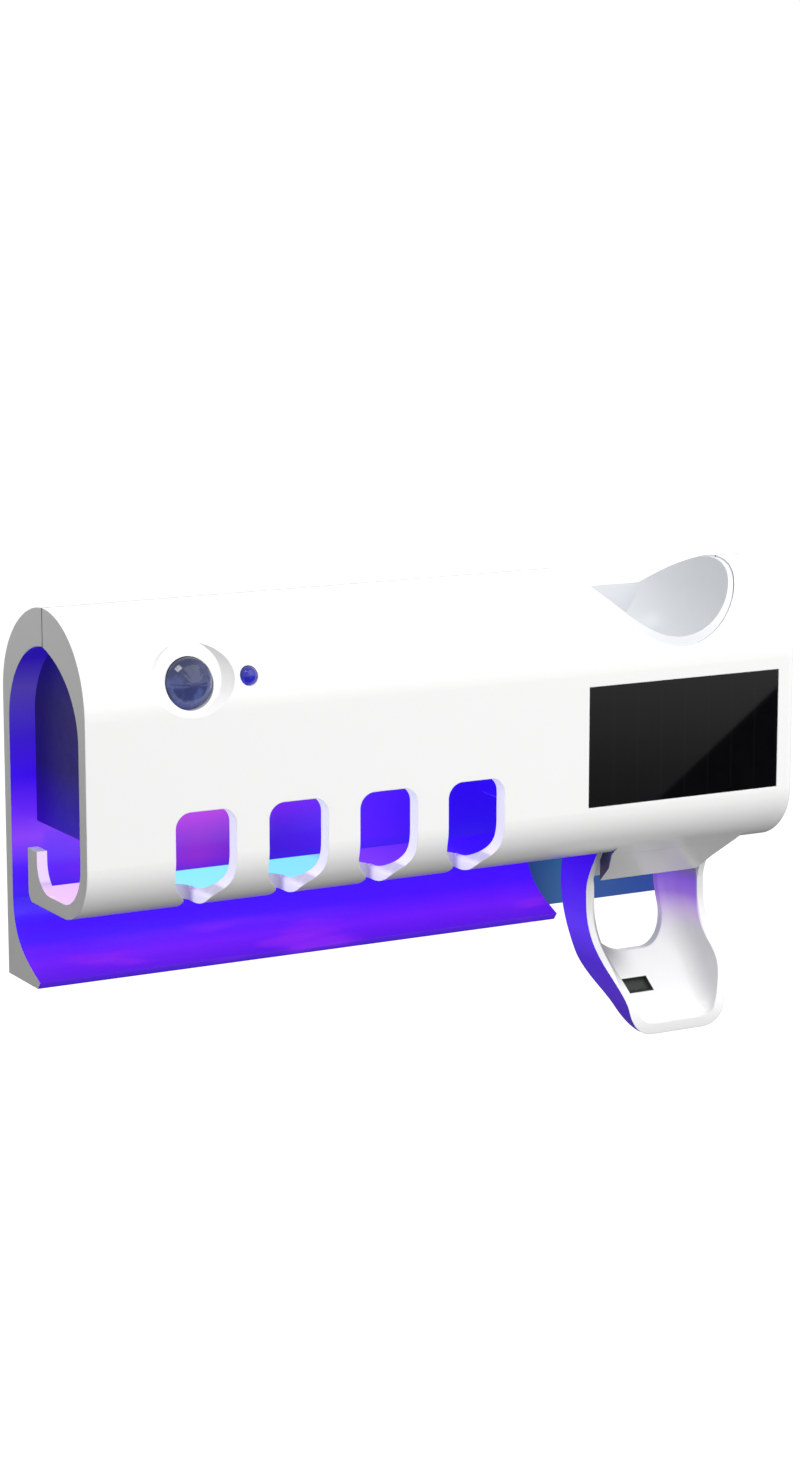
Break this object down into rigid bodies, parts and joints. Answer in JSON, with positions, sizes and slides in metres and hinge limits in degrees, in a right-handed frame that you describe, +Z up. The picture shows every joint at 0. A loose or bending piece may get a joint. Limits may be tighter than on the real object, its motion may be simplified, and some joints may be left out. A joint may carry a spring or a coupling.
{
  "type": "toothbrush sanitizer",
  "caption": "Wall-hung sanitizer for toothbrushes with slotted front, ultraviolet lamp, motion sensor, solar panel and a push-lever toothpaste dispenser.",
  "frame": {"origin": "centre of the wall bracket's contact face, on the wall", "axes": "+Z up, +Y out of the back into the wall so the front faces -Y, +X right as seen from the front"},
  "size_m": [0.2276, 0.0572, 0.1376],
  "materials": {
    "bracket_plastic": "satin",
    "foam": "matte",
    "back_white": "satin gloss",
    "cover_white": "gloss",
    "inner_white": "satin",
    "solar_cell": "glossy laminate",
    "tape": "matte",
    "aluminium": "polished",
    "lamp_glass": "clear quartz, lit",
    "socket_plastic": "satin",
    "board_green": "solder mask",
    "component_black": "matte",
    "steel_can": "satin",
    "lens_blue": "gloss",
    "led_blue": "clear resin",
    "cell_wrap": "shrink wrap",
    "contact_nickel": "nickel",
    "port_steel": "satin",
    "knob_black": "satin",
    "screw_steel": "zinc",
    "cup_white": "satin gloss",
    "silicone": "silicone",
    "pump_plastic": "satin",
    "lever_white": "gloss",
    "pin_steel": "polished",
    "spring_steel": "drawn wire"
  },
  "bodies": {
    "bracket": {"wall_bracket": "bracket_plastic", "adhesive_pad": "foam"},
    "housing": {"back_shell": "back_white", "front_cover": "cover_white", "light_baffle": "inner_white", "pump_partition": "inner_white", "electronics_tray": "inner_white", "reflector": "aluminium", "uv_lamp": "lamp_glass", "lamp_socket_left": "socket_plastic", "lamp_socket_right": "socket_plastic", "control_board": "board_green", "board_components": "component_black", "pir_sensor": "steel_can", "pir_lens": "lens_blue", "indicator_led": "led_blue", "battery_cell": "cell_wrap", "battery_holder": "component_black", "battery_contacts": "contact_nickel", "solar_panel": "solar_cell", "solar_tape": "tape", "port_board": "board_green", "usb_port": "port_steel", "usb_tongue": "knob_black", "switch_body": "port_steel", "case_screws": "screw_steel", "tube_cup": "cup_white", "tube_adapter": "silicone", "pump_body": "pump_plastic", "check_valve": "silicone", "pump_bellows": "silicone", "nozzle": "silicone", "hinge_pin": "pin_steel"},
    "lever": {"push_lever": "lever_white", "return_spring": "spring_steel"},
    "plunger": {"plunger": "pump_plastic"},
    "switch": {"switch_slider": "knob_black"}
  },
  "joints": [
    {"name": "lift_off", "type": "slide", "parent": "bracket", "child": "housing", "axis": [0, 0, 1], "range_m": [0, 0.012]},
    {"name": "lever_push", "type": "hinge", "parent": "housing", "child": "lever", "pos_m": [0.0795, -0.022, -0.044], "axis": [1, 0, 0], "range_deg": [0, 14], "stiffness_Nm_per_rad": 0.6, "springref_deg": -8.59},
    {"name": "plunger_slide", "type": "slide", "parent": "housing", "child": "plunger", "axis": [0, -1, 0], "range_m": [0, 0.0047], "deforming": ["pump_bellows"]},
    {"name": "power_switch", "type": "slide", "parent": "housing", "child": "switch", "axis": [0, 0, 1], "range_m": [0, 0.003]}
  ],
  "couplings": [
    {"joint": "plunger_slide", "follows": "lever_push", "m_per_rad": 0.01873}
  ]
}
